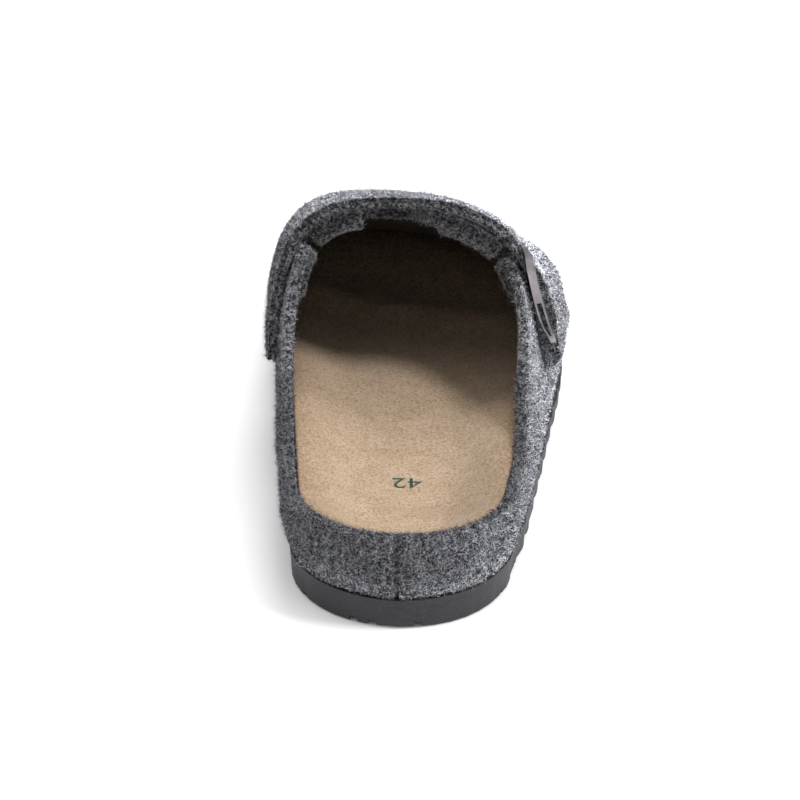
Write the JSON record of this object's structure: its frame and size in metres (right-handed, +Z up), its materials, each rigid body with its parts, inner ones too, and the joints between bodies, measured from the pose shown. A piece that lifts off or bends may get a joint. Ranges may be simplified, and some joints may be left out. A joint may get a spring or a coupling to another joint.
{
  "type": "clog slipper",
  "caption": "Closed-toe, open-heel felt clog slipper for the right foot, with a cupped footbed, a buckled instep strap and a grooved sole.",
  "frame": {"origin": "middle of the bounding box, on the floor under the sole", "axes": "+Y from the heel to the toe, +X to the wearer's right, which is the little-toe side, +Z up"},
  "size_m": [0.1064, 0.2818, 0.0901],
  "materials": {
    "outsole": "matte charcoal",
    "footbed": "tan suede",
    "upper": "heather grey felt",
    "instep_strap": "heather grey felt, two plies",
    "buckle": "matte pale silver"
  },
  "bodies": {
    "root": {"outsole": "outsole", "footbed": "footbed", "upper": "upper", "instep_strap": "instep_strap", "buckle": "buckle"}
  },
  "joints": []
}
